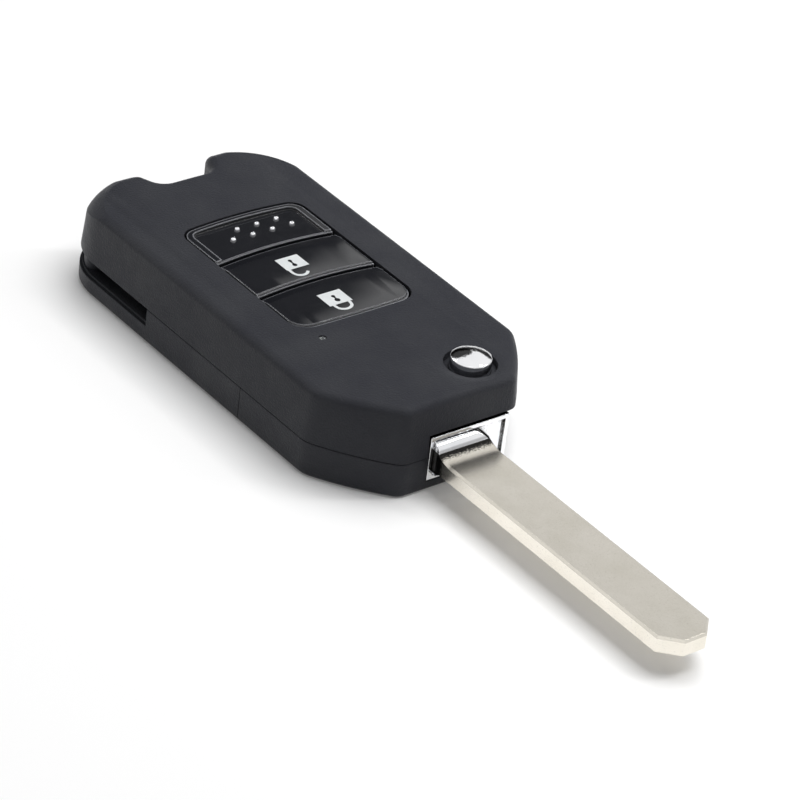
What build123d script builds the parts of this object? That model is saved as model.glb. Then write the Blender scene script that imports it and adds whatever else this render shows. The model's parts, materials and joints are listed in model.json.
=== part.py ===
from build123d import *
from math import atan2, cos, degrees, hypot, radians, sin, sqrt
import os

# Folding car key. The blade swings out of the case's side about an upright pivot.
# Frame: origin at the middle of the case's underside, +X towards the blade's tip, +Z up.
# All lengths are in millimetres, all angles in degrees.

# Case
case_length = 71.0
case_width = 35.0
nose_width = 18.6
nose_chamfer_length = 10.8
nose_chamfer_bow = 0.5
nose_corner_radius = 2.5
side_corner_radius = 4.0
tail_corner_radius = 9.4
seam_height = 5.4
case_height = 13.6
crown_rise = 0.7
side_draft = 5.0
tail_roll_radius = 5.6
tail_roll_lift = 0.2
corner_roll_beside = 1.5
corner_roll_behind = 0.5
top_edge_radius = 1.3
bottom_edge_radius = 0.7
seam_groove = 0.2
thumb_relief = 0.9
wall = 1.5
floor = 1.5
ceiling = 1.6
cover_split_x = 10.0
cover_gap = 0.1

# Key-ring notch and pocket at the tail
notch_depth = 6.5
notch_overlap = 0.3
notch_mouth_taper = 2.4
notch_throat_taper = 1.7
notch_flare = 2.4
notch_lip_radius = 3.0
pocket_front_x = -12.4
pocket_floor = 3.0
pocket_reach = 4.5
pocket_web = 1.2
pocket_step = 0.4
post_inset = 0.6
post_thickness = 3.0
post_start_angle = 190.0
post_end_angle = 250.0

# Blade
blade_width = 8.75
blade_thickness = 2.6
blade_top = 5.6
blade_reach = 48.5
blade_tip_chamfer = 2.6
blade_edge_bevel = 0.3
blade_root_rise = 0.7
blade_ramp_start = 1.25
blade_ramp_end = 3.6
tang_length = 6.4
tang_width = 4.4
tang_centre_y = -1.8
blade_ramp_sag = 0.22

# Blade head and its pivot
pivot_behind_nose = 6.6
pivot_y = 5.9
head_bottom = 1.7
head_top = 8.3
hub_radius = 5.4
hub_web_top = 3.2
plate_left = 5.0
plate_right = 8.2
plate_thickness = 1.6
plate_rim = 0.6
plate_recess = 0.4
boss_top = 7.6
boss_round = 3.0
boss_foot_drop = 0.3
arm_left = 4.6
spigot_radius = 2.4
spigot_top = 3.3
spigot_bore_floor = 0.6
head_clearance = 0.3
running_clearance = 0.05
seat_clearance = 0.05
roll_pin_radius = 0.75
roll_pin_wall = 0.2
roll_pin_slot = 0.3
roll_pin_sink = 0.2
roll_pin_roof = 0.6
roll_pin_back = 0.6
roll_pin_side = 0.5

# Release button and flip spring
release_radius = 2.85
release_rim_above_case = 0.75
release_rim_round = 0.25
release_dome = 0.75
release_travel = 1.0
release_stem_radius = 1.0
release_stem_gap = 0.5
release_flange_reach = 0.4
release_flange_height = 0.7
release_flange_gap = 0.1
release_well_gap = 0.85
release_well_depth = 1.2
release_dish_reach = 1.3
release_dish_depth = 0.3
sleeve_wall = 0.7
spring_wire = 0.5
spring_radius = 2.4
spring_turns = 2.0
spring_slack = 0.8
spring_end_gap = 0.05

# Blade channel along the case's side
channel_floor = 2.6
channel_roof = 6.0
channel_web = 1.2
channel_tip_gap = 0.6
channel_side_gap = 0.3
channel_rib_count = 5
channel_rib_thickness = 1.0
cover_hook_width = 3.0
cover_hook_reach = 1.6
cover_hook_thickness = 1.0
cover_hook_places = (-12.5, 1.5)

# Button panel
panel_width = 19.7
panel_tail_x = -16.2
panel_divider_one_x = -7.17
panel_divider_two_x = 2.45
panel_nose_x = 11.7
panel_bulge = 0.45
panel_tail_radius = 2.0
panel_nose_radius = 2.8
segment_gap = 0.6
window_gap = 0.35
button_sink = 0.1
button_plate = 1.4
button_travel = 0.5
button_crest = 1.6
button_crest_drop = 0.35
button_ledge = 0.4
button_ledge_drop = 0.2
button_edge_round = 0.15
button_tab_hook = 0.55
button_tab_root = 1.6
button_tab_thickness = 0.6
button_tab_length = 4.0
dish_rim_side = 1.05
dish_rim_tail = 0.7
dish_ridge = 2.5
dish_depth = 0.6
dot_radius = 0.42
dot_pitch = 3.35
dot_tail_row_inset = 1.9
dot_tail_row_y = 1.6
dot_tail_row_count = 3
dot_nose_row_inset = 4.0
dot_nose_row_y = 1.15
dot_nose_row_count = 4

# Electronics
board_depth = 4.2
board_thickness = 1.0
board_tail_x = -20.0
board_nose_x = 19.0
board_side_gap = 2.9
board_wall_gap = 0.5
board_corner_radius = 2.0
board_post_radius = 1.1
switch_size = 4.5
switch_height = 1.2
switch_stem_radius = 1.1
switch_stem_height = 0.6
switch_y = -0.4
plunger_radius = 1.6
cell_radius = 8.0
cell_height = 2.0
cell_bottom = 4.6
cell_lid_height = 0.25
cell_rim_width = 1.2
cell_rim_round = 0.4
cell_x = 0.6
cell_side_gap = 2.3
cell_clearance = 0.2
cradle_wall = 0.8
cradle_pad = 2.5
cradle_pad_width = 1.2
cradle_pad_angles = (60, 150, 300)
clip_thickness = 0.2
clip_width = 3.0
led_x = 14.9
led_side_gap = 9.1
led_radius = 0.5
led_length = 1.6
led_width = 0.8
led_height = 0.7
light_pipe_gap = 0.2
chip_length = 9.0
chip_width = 4.5
chip_height = 2.4
chip_x = 17.2
chip_side_gap = 2.65
chip_fence_wall = 0.85
chip_fence_height = 1.4
parts_x = -15.8
control_chip_size = (5.0, 5.0, 0.9)
control_chip_y = -4.0
crystal_size = (3.2, 2.5, 0.8)
crystal_y = 1.75
coil_x = 14.5
coil_side_gap = 5.4
coil_length = 6.0
coil_width = 5.2
coil_height = 2.2
coil_core_width = 4.0
coil_flange = 1.0

# Screws
screw_radius = 0.95
screw_head_radius = 1.9
screw_head_height = 1.1
screw_head_sink = 0.2
screw_length = 6.5
screw_hole_gap = 0.15
screw_boss_wall = 1.3
screw_boss_top = 2.5
screw_tip_gap = 0.5
screw_edge_break = 0.4
screw_drive_width = 0.5
screw_drive_length = 2.4
screw_drive_depth = 0.7
cover_screw_x = -22.6
cover_screw_y = 1.6
housing_screw_x = 25.3
housing_screw_inset = 7.1

# Places that follow from the sizes above
nose_x = case_length / 2
tail_x = -case_length / 2
side_y = case_width / 2
crown_radius = (side_y**2 + crown_rise**2) / (2 * crown_rise)
pivot_x = nose_x - pivot_behind_nose
blade_bottom = blade_top - blade_thickness
blade_tip_x = nose_x + blade_reach
folded_tip_x = 2 * pivot_x - blade_tip_x
folded_inner_y = 2 * pivot_y - blade_width / 2
plate_sweep = hypot(pivot_behind_nose, pivot_y + plate_left)
plate_inner_sweep = hypot(pivot_behind_nose, plate_right - pivot_y)
boss_sweep = hypot(pivot_behind_nose + blade_ramp_start, pivot_y + blade_width / 2) + head_clearance
ramp_sweep = hypot(pivot_behind_nose + blade_ramp_end, pivot_y + blade_width / 2) + head_clearance
channel_end_x = folded_tip_x - channel_tip_gap
channel_inner_y = folded_inner_y - channel_side_gap
channel_wall_y = channel_inner_y - channel_web
folded_plate_x = pivot_x - pivot_behind_nose - head_clearance
head_roof = head_top + head_clearance
head_left_y = -plate_left - head_clearance / 2
board_top = case_height - board_depth
board_bottom = board_top - board_thickness
board_left_y = -side_y + board_side_gap
board_right_y = channel_wall_y - board_wall_gap
cell_y = -side_y + cell_side_gap + cell_radius
led_y = -side_y + led_side_gap
chip_y = -side_y + chip_side_gap + chip_width / 2
coil_y = -side_y + coil_side_gap + coil_length / 2
housing_screw_y = -side_y + housing_screw_inset
switch_top = board_top + switch_height
stem_top = switch_top + switch_stem_height
tail_centre_x = tail_x + tail_corner_radius
tail_centre_y = -side_y + tail_corner_radius
barrel_gap_radius = release_radius + running_clearance
release_barrel_bottom = spigot_top + spring_turns * spring_wire + release_travel + spring_slack
sleeve_bottom = release_barrel_bottom + release_flange_height + release_flange_gap
release_well_radius = release_radius + release_well_gap
button_tab_reach = window_gap + button_tab_hook
screw_shank_bottom = screw_head_sink + screw_head_height
dish_floor_z = case_height - button_sink - dish_depth
cover_front_x = cover_split_x - cover_gap
notch_mouth_y = side_y - tail_corner_radius + notch_overlap
notch_throat_y = notch_mouth_y - notch_mouth_taper
notch_floor_y = notch_throat_y - notch_throat_taper


def crown_z(y):
    # Height of the case's top face at a distance y from the middle line.
    return case_height - crown_radius + (crown_radius**2 - y**2) ** 0.5


tab_top = crown_z(panel_width / 2 + button_tab_reach) - ceiling - window_gap
segment_bottom = crown_z(panel_width / 2) - button_sink - button_plate


def case_outline(inset=0.0):
    # Plan of the case: a slab with a bowed chamfer at each side of the nose and two round tail corners.
    half_nose = nose_width / 2
    chamfer_x = nose_x - nose_chamfer_length
    slant = hypot(nose_chamfer_length, side_y - half_nose)
    bow_x = (nose_x + chamfer_x) / 2 + nose_chamfer_bow * (side_y - half_nose) / slant
    bow_y = (side_y + half_nose) / 2 + nose_chamfer_bow * nose_chamfer_length / slant
    edges = [
        Line((nose_x, -half_nose), (nose_x, half_nose)),
        ThreePointArc((nose_x, half_nose), (bow_x, bow_y), (chamfer_x, side_y)),
        Polyline((chamfer_x, side_y), (tail_x, side_y), (tail_x, -side_y), (chamfer_x, -side_y)),
        ThreePointArc((chamfer_x, -side_y), (bow_x, -bow_y), (nose_x, -half_nose)),
    ]
    plan = make_face(edges)
    by_x = plan.vertices().sort_by(Axis.X)
    plan = fillet(by_x[:2], tail_corner_radius)
    sides = [v for v in plan.vertices() if abs(v.X - chamfer_x) < 0.01]
    plan = fillet(sides, side_corner_radius)
    tips = [v for v in plan.vertices() if abs(v.X - nose_x) < 0.01]
    plan = fillet(tips, nose_corner_radius)
    if inset:
        plan = offset(plan, amount=-inset)
    return plan


def notch_outline(grow=0.0):
    # Plan of the key-ring notch, flared towards the tail.
    floor_x = tail_x + notch_depth
    throat_x = tail_x + notch_flare
    half = [
        (floor_x, notch_floor_y),
        (throat_x, notch_throat_y),
        (tail_x, notch_mouth_y),
        (tail_x - notch_depth, notch_mouth_y),
    ]
    mirrored = [(x, -y) for x, y in reversed(half)]
    plan = make_face(Polyline(*half, *mirrored, close=True))
    inner = [v for v in plan.vertices() if v.X > tail_x + 0.1]
    plan = fillet(inner, notch_flare)
    if grow:
        plan = offset(plan, amount=grow)
    return plan


def cut_notch(block):
    # The block with the notch cut down through it and the notch's mouth rounded.
    block = block - slab(notch_outline(), -1, case_height + 5)
    near_tail = [e for e in block.edges() if is_upright(e) and e.center().X < tail_x + notch_flare / 2]
    near_tail.sort(key=lambda edge: abs(abs(edge.center().Y) - notch_mouth_y))
    return fillet(near_tail[:2], notch_lip_radius)


def slab(plan, bottom, top):
    return extrude(Pos(0, 0, bottom) * plan, top - bottom)


def box_between(x0, x1, y0, y1, z0, z1):
    return Pos((x0 + x1) / 2, (y0 + y1) / 2, (z0 + z1) / 2) * Box(x1 - x0, y1 - y0, z1 - z0)


def rod(x, y, radius, bottom, top):
    return Pos(x, y, (bottom + top) / 2) * Cylinder(radius, top - bottom)


def pivot_rod(radius, bottom, top):
    return rod(pivot_x, pivot_y, radius, bottom, top)


def crown_block(drop=0.0):
    # Everything under the case's crowned top face.
    barrel = Rot(0, 90, 0) * Cylinder(crown_radius, 2 * case_length)
    return Pos(0, 0, case_height - drop - crown_radius) * barrel


def head_space(bottom, top):
    # Room that the blade head sweeps between its open and folded positions.
    sweep = pivot_rod(plate_sweep + head_clearance, bottom, top)
    gate = box_between(folded_plate_x, nose_x + side_y, head_left_y, 2 * side_y, bottom, top)
    return (sweep & gate) + pivot_rod(plate_inner_sweep + head_clearance, bottom, top)


def pocket_plan():
    # Room for the key ring, from the side slot round behind the corner post to the notch.
    inner_y = -side_y + pocket_reach
    corners = [
        (pocket_front_x, -side_y - 5),
        (pocket_front_x, inner_y),
        (tail_centre_x + post_thickness, inner_y + post_thickness),
        (tail_x + notch_depth, 1 - notch_floor_y),
        (tail_x - 5, 1 - notch_floor_y),
        (tail_x - 5, -side_y - 5),
    ]
    return make_face(Polyline(*corners, close=True))


def post_plan():
    # The corner post that the ring goes round: a bar bent along the tail corner, with round ends.
    outer = tail_corner_radius - post_inset
    middle = outer - post_thickness / 2
    start = post_start_angle
    end = post_end_angle
    path = CenterArc((tail_centre_x, tail_centre_y), middle, start, end - start)
    bar = Circle(outer) - Circle(outer - post_thickness)
    far = 2 * tail_corner_radius
    wedge = make_face(
        Polyline(
            (0, 0),
            (far * cos(radians(start)), far * sin(radians(start))),
            (-far, -far),
            (far * cos(radians(end)), far * sin(radians(end))),
            close=True,
        )
    )
    bar = Pos(tail_centre_x, tail_centre_y) * (bar & wedge)
    ends = [Pos(*tuple(path @ t)[:2]) * Circle(post_thickness / 2) for t in (0, 1)]
    return bar + ends


def segment_plan(tail_edge, nose_edge, tail_bulge, nose_bulge, grow=0.0):
    # One segment of the panel, between two bowed edges. A positive bulge points away from the middle.
    half = panel_width / 2 + grow
    a = (tail_edge - grow, -half)
    b = (tail_edge - grow, half)
    c = (nose_edge + grow, half)
    d = (nose_edge + grow, -half)
    edges = [
        ThreePointArc(a, (tail_edge - grow - tail_bulge, 0), b),
        Line(b, c),
        ThreePointArc(c, (nose_edge + grow + nose_bulge, 0), d),
        Line(d, a),
    ]
    return make_face(edges)


def panel_plan(grow=0.0):
    plan = segment_plan(panel_tail_x, panel_nose_x, panel_bulge, panel_bulge, grow)
    plan = fillet(plan.vertices().sort_by(Axis.X)[:2], panel_tail_radius + grow)
    return fillet(plan.vertices().sort_by(Axis.X)[-2:], panel_nose_radius + grow)


def segment_between(first_x, second_x, first_bulge, second_bulge):
    # A panel segment cut out of the whole panel, so that its outer corners stay round.
    return segment_plan(first_x, second_x, first_bulge, second_bulge) & panel_plan()


def tail_roll():
    # Everything under a top that rolls down to the tail.
    roll_top = case_height + tail_roll_lift
    roll = box_between(tail_x, 2 * nose_x, -2 * side_y, 2 * side_y, 0, roll_top)
    edge = roll.edges().filter_by(Axis.Y).sort_by(Axis.X)[:2].sort_by(Axis.Z)[-1]
    return fillet(edge, tail_roll_radius)


def corner_roll():
    # The same roll led round the two tail corners. It meets each corner's wall halfway round.
    half = side_y + corner_roll_beside
    behind_x = tail_x - corner_roll_behind
    reach = (corner_roll_beside + corner_roll_behind) / (2 - sqrt(2))
    length = 2 * nose_x - behind_x
    plan = Pos(behind_x + length / 2, 0) * Rectangle(length, 2 * half)
    plan = fillet(plan.vertices().sort_by(Axis.X)[:2], tail_corner_radius + reach)
    roll_top = case_height + tail_roll_lift
    roll = slab(plan, 0, roll_top)
    edges = [e for e in roll.edges() if e.center().Z > roll_top - 0.01 and e.center().X < 2 * nose_x - 0.01]
    return fillet(edges, tail_roll_radius)


def make_upper_shell():
    rise = case_height - seam_height + 3
    outer = extrude(Pos(0, 0, seam_height) * case_outline(), rise, taper=side_draft)
    outer = cut_notch(outer) & crown_block()
    outer = outer & tail_roll()
    top_edges = [e for e in outer.edges() if e.center().Z > seam_height + 0.6 and not is_upright(e)]
    outer = fillet(top_edges, top_edge_radius) & corner_roll()

    inner = extrude(Pos(0, 0, seam_height - 1) * case_outline(wall), rise, taper=side_draft)
    inner = inner & crown_block(ceiling)
    inner = inner & box_between(tail_x + tail_roll_radius, nose_x, -side_y, side_y, -1, case_height)
    kept = slab(notch_outline(wall), 0, case_height)
    kept += slab(pocket_plan(), seam_height, seam_height + pocket_web)
    kept += box_between(channel_end_x - wall, nose_x, channel_wall_y, side_y, 0, channel_roof + channel_web)
    kept += box_between(channel_end_x - wall, nose_x, channel_wall_y, channel_inner_y, 0, case_height)
    kept += box_between(board_nose_x + 1, nose_x, head_left_y - wall, side_y, 0, case_height)
    kept += box_between(pivot_x - ramp_sweep - wall, nose_x, channel_wall_y, side_y, 0, case_height)
    shell = outer - (inner - kept)

    foot = box_between(channel_end_x, folded_plate_x, channel_wall_y, channel_inner_y, channel_floor, 8)
    shell += foot
    shell -= box_between(channel_end_x, nose_x + 5, channel_inner_y, side_y + 5, 0, channel_roof)
    shell -= head_space(0, head_roof)
    beside = box_between(tail_x, nose_x + 5, channel_inner_y, side_y + 5, 0, case_height)
    shell -= pivot_rod(boss_sweep, 0, boss_top + head_clearance) & beside
    shell -= pivot_rod(ramp_sweep, 0, blade_top + blade_root_rise + head_clearance) & beside

    shell += pivot_rod(barrel_gap_radius + sleeve_wall, sleeve_bottom, head_roof + 0.5)
    shell -= pivot_rod(barrel_gap_radius, 0, case_height + 5)
    shell -= pivot_rod(release_well_radius, crown_z(pivot_y) - release_well_depth, case_height + 5)
    rim_radius = release_well_radius + release_dish_reach
    ball_radius = (rim_radius**2 - release_well_radius**2) / (2 * release_dish_depth)
    ball_z = crown_z(pivot_y) + sqrt(ball_radius**2 - rim_radius**2)
    shell -= Pos(pivot_x, pivot_y, ball_z) * Sphere(ball_radius)

    shell -= slab(panel_plan(window_gap), board_top, case_height + 5)
    shell -= rod(led_x, led_y, led_radius + running_clearance, board_top, case_height + 5)

    for x, y in board_post_places():
        shell += rod(x, y, board_post_radius, board_top, crown_z(y) - ceiling / 2)
    for x, y in screw_places():
        post = rod(x, y, screw_radius + screw_boss_wall, screw_boss_top, crown_z(y) - ceiling / 2)
        pilot_top = screw_shank_bottom + screw_length + screw_tip_gap
        shell += post - rod(x, y, screw_radius + running_clearance, 0, pilot_top)
    return shell


def is_upright(edge):
    # True for the edges that run up a drafted wall.
    ends = edge.end_point() - edge.start_point()
    return abs(ends.Z) > 3.0


def board_post_places():
    inset = board_post_radius + 0.6
    return [
        (board_tail_x + inset, board_left_y + inset + 1.2),
        (board_tail_x + inset, board_right_y - inset),
        (board_nose_x - inset, board_left_y + inset),
        (board_nose_x - inset, board_right_y - inset),
    ]


def screw_places():
    return [(cover_screw_x, cover_screw_y), (housing_screw_x, housing_screw_y)]


def lower_form():
    outer = cut_notch(slab(case_outline(), 0, seam_height))
    bottom = [e for e in outer.edges() if e.center().Z < 0.01]
    outer = fillet(bottom, bottom_edge_radius)
    seam = [e for e in outer.edges() if e.center().Z > seam_height - 0.01]
    return chamfer(seam, seam_groove)


def screw_seat(shell, x, y):
    # A boss on the floor, with the screw's hole and the pocket for its head.
    shell += rod(x, y, screw_radius + screw_boss_wall, 0.5, screw_boss_top)
    shell -= rod(x, y, screw_radius + screw_hole_gap, -1, screw_boss_top + 1)
    return shell - rod(x, y, screw_head_radius + screw_hole_gap, -1, screw_shank_bottom)


def make_battery_cover():
    inner = slab(case_outline(wall), floor, seam_height + 1)
    kept = slab(notch_outline(wall), 0, seam_height)
    pocket = pocket_plan()
    kept += slab(offset(pocket, amount=wall), 0, seam_height)
    kept += box_between(channel_end_x - wall, nose_x, channel_wall_y, channel_inner_y, 0, channel_floor)
    kept += box_between(tail_x, channel_end_x, channel_wall_y, side_y, 0, seam_height)
    pitch = (cover_split_x - channel_end_x) / channel_rib_count
    for index in range(channel_rib_count):
        rib_x = channel_end_x + index * pitch
        kept += box_between(rib_x, rib_x + channel_rib_thickness, channel_wall_y, side_y, 0, channel_floor)
    cover = lower_form() - (inner - kept)
    cover -= box_between(
        channel_end_x, nose_x + 5, channel_wall_y - 1, side_y + 5, channel_floor, seam_height + 1
    )
    cover &= box_between(tail_x - 5, cover_front_x, -side_y - 5, side_y + 5, -1, seam_height + 1)

    cover -= slab(pocket - post_plan(), pocket_floor, seam_height + 1)
    rim = case_outline() - case_outline(pocket_step)
    cover -= slab(rim & pocket, pocket_floor - pocket_step, seam_height + 1)

    ring = Circle(cell_radius + cell_clearance + cradle_wall) - Circle(cell_radius + cell_clearance)
    ring = Pos(cell_x, cell_y) * ring
    cradle = slab(ring, floor - 0.2, seam_height - 0.2)
    pad_half = cradle_pad_width / 2
    pad = box_between(
        cell_radius - cradle_pad, cell_radius + cradle_wall, -pad_half, pad_half, floor - 0.2, cell_bottom
    )
    for angle in cradle_pad_angles:
        cradle += Pos(cell_x, cell_y, 0) * Rot(0, 0, angle) * pad
    room = slab(case_outline(wall / 2), floor - 0.2, seam_height)
    room &= box_between(tail_x, cover_front_x, -side_y, channel_wall_y - 0.2, 0, seam_height)
    cradle -= clip_room()
    cover += cradle & room
    hook_top = floor + cover_gap + cover_hook_thickness
    for middle in cover_hook_places:
        y0 = middle - cover_hook_width / 2
        y1 = middle + cover_hook_width / 2
        hook_tip_x = cover_split_x + cover_hook_reach
        cover += box_between(cover_split_x - 3, hook_tip_x, y0, y1, floor + cover_gap, hook_top)
        cover += box_between(cover_split_x - 3, cover_front_x, y0, y1, floor - 0.2, hook_top)
    return screw_seat(cover, cover_screw_x, cover_screw_y)


def clip_room():
    # Gap in the cell's cradle for the positive clip's leg.
    grow = 0.3
    x0 = cell_x + cell_radius - cradle_pad - 1
    return box_between(
        x0, x0 + 6, cell_y - clip_width / 2 - grow, cell_y + clip_width / 2 + grow, floor, seam_height + 1
    )


def make_hinge_housing():
    inner = slab(case_outline(wall), floor, seam_height + 1)
    kept = box_between(cover_split_x, nose_x, channel_wall_y, channel_inner_y, 0, channel_floor)
    kept += box_between(housing_wall_x(), nose_x, head_left_y - wall, head_left_y, 0, seam_height)
    housing = lower_form() - (inner - kept)
    housing -= box_between(
        cover_split_x - 5, nose_x + 5, channel_inner_y, side_y + 5, channel_floor, seam_height + 1
    )
    housing &= box_between(cover_split_x, nose_x + 5, -side_y - 5, side_y + 5, -1, seam_height + 1)
    housing -= head_space(floor, seam_height + 1)
    beside_blade = box_between(folded_plate_x, 2 * nose_x, channel_inner_y, 2 * side_y, -1, seam_height + 1)
    housing -= slab(case_outline() - case_outline(thumb_relief), -1, seam_height + 1) & beside_blade
    housing += pivot_rod(spigot_radius, 0.5, spigot_top)
    housing -= pivot_rod(release_stem_radius + running_clearance, spigot_bore_floor, spigot_top + 1)
    fence = chip_block(chip_fence_wall, floor - 0.2)
    fence &= box_between(
        cover_split_x + cover_hook_reach + 0.6, nose_x, -side_y, side_y, 0, floor + chip_fence_height
    )
    fence &= slab(case_outline(wall / 2), 0, seam_height)
    housing += fence - chip_block(running_clearance, floor)
    return screw_seat(housing, housing_screw_x, housing_screw_y)


def housing_wall_x():
    # Tail end of the wall beside the blade head.
    return folded_plate_x - 1


def chip_block(grow, bottom):
    return box_between(
        chip_x - chip_length / 2 - grow,
        chip_x + chip_length / 2 + grow,
        chip_y - chip_width / 2 - grow,
        chip_y + chip_width / 2 + grow,
        bottom,
        bottom + chip_height,
    )


def make_blade():
    root_top = blade_top + blade_root_rise
    ramp_x = nose_x + blade_ramp_start
    flat_x = nose_x + blade_ramp_end
    plate_back_x = nose_x - plate_thickness
    ramp_middle = ((flat_x + ramp_x) / 2, blade_top + blade_ramp_sag)
    side = [
        Line((plate_back_x, blade_bottom), (blade_tip_x, blade_bottom)),
        Line((blade_tip_x, blade_bottom), (blade_tip_x, blade_top)),
        Line((blade_tip_x, blade_top), (flat_x, blade_top)),
        ThreePointArc((flat_x, blade_top), ramp_middle, (ramp_x, root_top)),
        Line((ramp_x, root_top), (plate_back_x, root_top)),
        Line((plate_back_x, root_top), (plate_back_x, blade_bottom)),
    ]
    bar = extrude(Plane.XZ * make_face(side), blade_width / 2, both=True)
    tip = [e for e in bar.edges().filter_by(Axis.Z) if abs(e.center().X - blade_tip_x) < 0.01]
    bar = chamfer(tip, blade_tip_chamfer)
    long_edges = [
        e for e in bar.edges() if e.center().X > flat_x + 1 and abs(e.tangent_at(0).Z) < 0.01
    ]
    bar = chamfer(long_edges, blade_edge_bevel)
    tang = box_between(
        plate_back_x - tang_length,
        plate_back_x + 0.5,
        tang_centre_y - tang_width / 2,
        tang_centre_y + tang_width / 2,
        blade_bottom,
        blade_top,
    )
    pin_x, pin_y = roll_pin_place()
    return bar + tang - rod(pin_x, pin_y, roll_pin_radius + seat_clearance, 0, blade_top + 5)


def roll_pin_place():
    return nose_x - plate_thickness - tang_length / 2 - roll_pin_back, tang_centre_y - roll_pin_side


def make_blade_head():
    plate_back_x = nose_x - plate_thickness
    head = pivot_rod(hub_radius, head_bottom, head_top)
    arm_tail_x = plate_back_x - tang_length - 0.8
    head += box_between(arm_tail_x, nose_x, -arm_left, pivot_y, head_bottom, head_top)
    head += box_between(plate_back_x, nose_x, -plate_left, plate_right, head_bottom, head_top)
    recess = box_between(
        nose_x - plate_recess,
        nose_x + 1,
        -plate_left + plate_rim + 0.2,
        plate_right - plate_rim,
        head_bottom + plate_rim,
        head_top - plate_rim,
    )
    head -= recess
    plate_middle_x = nose_x - plate_thickness / 2
    boss_end_x = nose_x + blade_ramp_start
    boss_bottom = blade_bottom - boss_foot_drop
    boss_foot = blade_top + blade_root_rise
    profile = [
        Line((plate_middle_x, boss_bottom), (boss_end_x - boss_foot_drop, boss_bottom)),
        Line((boss_end_x - boss_foot_drop, boss_bottom), (boss_end_x, blade_bottom)),
        Line((boss_end_x, blade_bottom), (boss_end_x, boss_foot)),
        ThreePointArc((boss_end_x, boss_foot), (nose_x + 0.75, boss_foot + 0.8), (nose_x - 0.2, boss_top)),
        Line((nose_x - 0.2, boss_top), (plate_middle_x, boss_top)),
        Line((plate_middle_x, boss_top), (plate_middle_x, boss_bottom)),
    ]
    boss = extrude(Plane.XZ * make_face(profile), blade_width / 2, both=True)
    shoulder = box_between(
        nose_x - 5, nose_x + 5, -blade_width / 2, blade_width / 2, blade_bottom - 3, boss_top + 0.01
    )
    shoulder_edge = shoulder.edges().filter_by(Axis.X).sort_by(Axis.Y)[-2:].sort_by(Axis.Z)[-1]
    boss = boss & fillet(shoulder_edge, boss_round)
    head += boss
    head -= blade_socket()
    head -= pivot_rod(spigot_radius + running_clearance, 0, hub_web_top + 1)
    head -= pivot_rod(barrel_gap_radius + sleeve_wall + running_clearance, hub_web_top, head_top + 1)
    pin_x, pin_y = roll_pin_place()
    return head - rod(pin_x, pin_y, roll_pin_radius + seat_clearance, 0, head_top - roll_pin_roof)


def blade_socket():
    # The blade's own block and tang, a little larger all round.
    gap = seat_clearance
    plate_back_x = nose_x - plate_thickness
    half = blade_width / 2
    root = box_between(
        plate_back_x - gap, nose_x + 5, -half - gap, half + gap, blade_bottom, blade_top + blade_root_rise
    )
    tang = box_between(
        plate_back_x - tang_length - gap,
        plate_back_x,
        tang_centre_y - tang_width / 2 - gap,
        tang_centre_y + tang_width / 2 + gap,
        blade_bottom,
        blade_top,
    )
    return root + tang


def make_roll_pin():
    x, y = roll_pin_place()
    tube = rod(x, y, roll_pin_radius, head_bottom + roll_pin_sink, head_top - roll_pin_roof - roll_pin_sink)
    tube -= rod(x, y, roll_pin_radius - roll_pin_wall, 0, head_top)
    return tube - box_between(x, x + 2, y - roll_pin_slot / 2, y + roll_pin_slot / 2, 0, head_top)


def make_release_button():
    top = crown_z(pivot_y) + release_rim_above_case
    dome_radius = (release_radius**2 + release_dome**2) / (2 * release_dome)
    barrel = pivot_rod(release_radius, release_barrel_bottom, top + release_dome)
    dome = Pos(pivot_x, pivot_y, top + release_dome - dome_radius) * Sphere(dome_radius)
    cap = barrel & (dome + pivot_rod(release_radius + 1, release_barrel_bottom - 1, top - release_dome))
    rim = [e for e in cap.edges() if abs(e.center().Z - top) < 0.05]
    cap = fillet(rim, release_rim_round)
    stem_bottom = spigot_bore_floor + release_travel + release_stem_gap
    stem = pivot_rod(release_stem_radius, stem_bottom, release_barrel_bottom + 0.5)
    flange_radius = release_radius + release_flange_reach
    flange = pivot_rod(flange_radius, release_barrel_bottom, release_barrel_bottom + release_flange_height)
    return cap + flange + stem


def make_flip_spring():
    # Torsion and return spring round the button's stem, wound as a helix.
    bottom = spigot_top + spring_end_gap + spring_wire / 2
    top = release_barrel_bottom - spring_end_gap - spring_wire / 2
    helix = Helix(pitch=(top - bottom) / spring_turns, height=top - bottom, radius=spring_radius)
    section = Plane(origin=helix @ 0, z_dir=helix % 0) * RegularPolygon(spring_wire / 2, 8)
    coil = sweep(section, path=helix)
    return Pos(pivot_x, pivot_y, bottom) * coil


def button_tab(x, side):
    # A foot that hooks under the case's ceiling at one end of a panel segment.
    inner = panel_width / 2 - button_tab_root
    outer = panel_width / 2 + button_tab_reach
    half = button_tab_length / 2
    y0, y1 = sorted((side * inner, side * outer))
    foot = box_between(x - half, x + half, y0, y1, tab_top - button_tab_thickness, tab_top)
    y0, y1 = sorted((side * inner, side * (panel_width / 2 - segment_gap)))
    return foot + box_between(x - half, x + half, y0, y1, tab_top - 0.1, segment_bottom + 0.1)


def crowned_block(plan):
    # A panel segment that follows the case's crown, with a narrow ledge along its nose edge.
    block = slab(plan, segment_bottom, case_height + 2) & crown_block(button_sink)
    ledge = slab(plan - Pos(-button_ledge, 0, 0) * plan, segment_bottom, case_height + 2)
    return block - (ledge - crown_block(button_sink + button_ledge_drop))


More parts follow.
